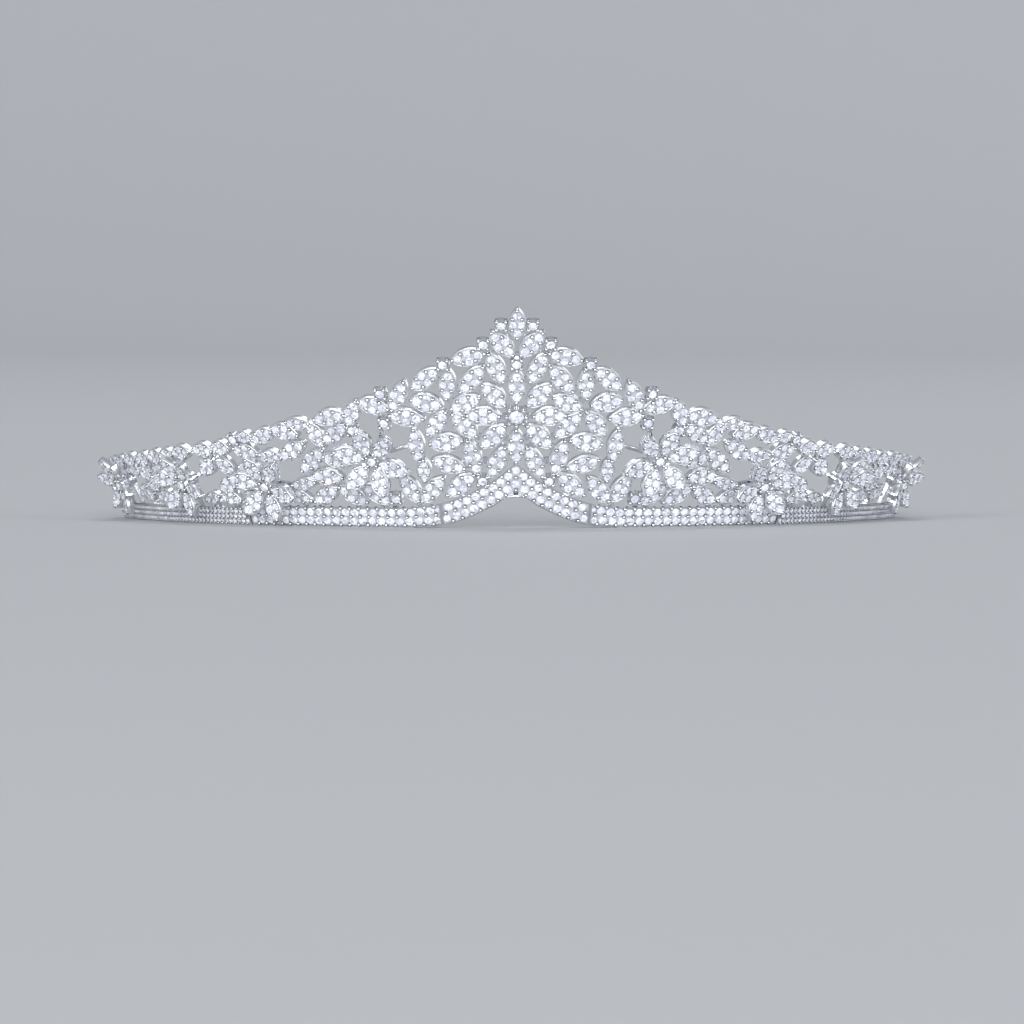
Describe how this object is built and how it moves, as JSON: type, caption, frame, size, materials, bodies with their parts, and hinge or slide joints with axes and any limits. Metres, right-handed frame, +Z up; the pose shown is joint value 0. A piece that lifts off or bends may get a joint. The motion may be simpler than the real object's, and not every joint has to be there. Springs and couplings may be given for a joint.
{
  "type": "diadem",
  "caption": "Openwork jewelled diadem: a peaked lace of stone-set leaves and raised flowers on a stone-set rim, with plain arms ending in small loops.",
  "frame": {"origin": "on the ground under the rim, in the middle of the whole outline", "axes": "+X to the wearer's left, +Y to the back of the head, +Z up"},
  "size_m": [0.1522, 0.1203, 0.0398],
  "materials": {
    "white_metal": "polished",
    "clear_stone": "cut and polished"
  },
  "bodies": {
    "root": {"center_section": "white_metal", "left_side_section": "white_metal", "right_side_section": "white_metal", "left_end_section": "white_metal", "right_end_section": "white_metal", "left_arm": "white_metal", "right_arm": "white_metal", "star_stone": "clear_stone", "top_accent_stone": "clear_stone", "center_rim_stones": "clear_stone", "left_rim_stones": "clear_stone", "right_rim_stones": "clear_stone", "left_accent_stone_1": "clear_stone", "left_accent_stone_2": "clear_stone", "left_accent_stone_3": "clear_stone", "left_accent_stone_4": "clear_stone", "left_accent_stone_5": "clear_stone", "left_accent_stone_6": "clear_stone", "left_accent_stone_7": "clear_stone", "left_accent_stone_8": "clear_stone", "left_accent_stone_9": "clear_stone", "right_accent_stone_1": "clear_stone", "right_accent_stone_2": "clear_stone", "right_accent_stone_3": "clear_stone", "right_accent_stone_4": "clear_stone", "right_accent_stone_5": "clear_stone", "right_accent_stone_6": "clear_stone", "right_accent_stone_7": "clear_stone", "right_accent_stone_8": "clear_stone", "right_accent_stone_9": "clear_stone", "left_flower_stone_1": "clear_stone", "left_flower_stone_2": "clear_stone", "left_flower_stone_3": "clear_stone", "left_flower_stone_4": "clear_stone", "right_flower_stone_1": "clear_stone", "right_flower_stone_2": "clear_stone", "right_flower_stone_3": "clear_stone", "right_flower_stone_4": "clear_stone"}
  },
  "joints": []
}
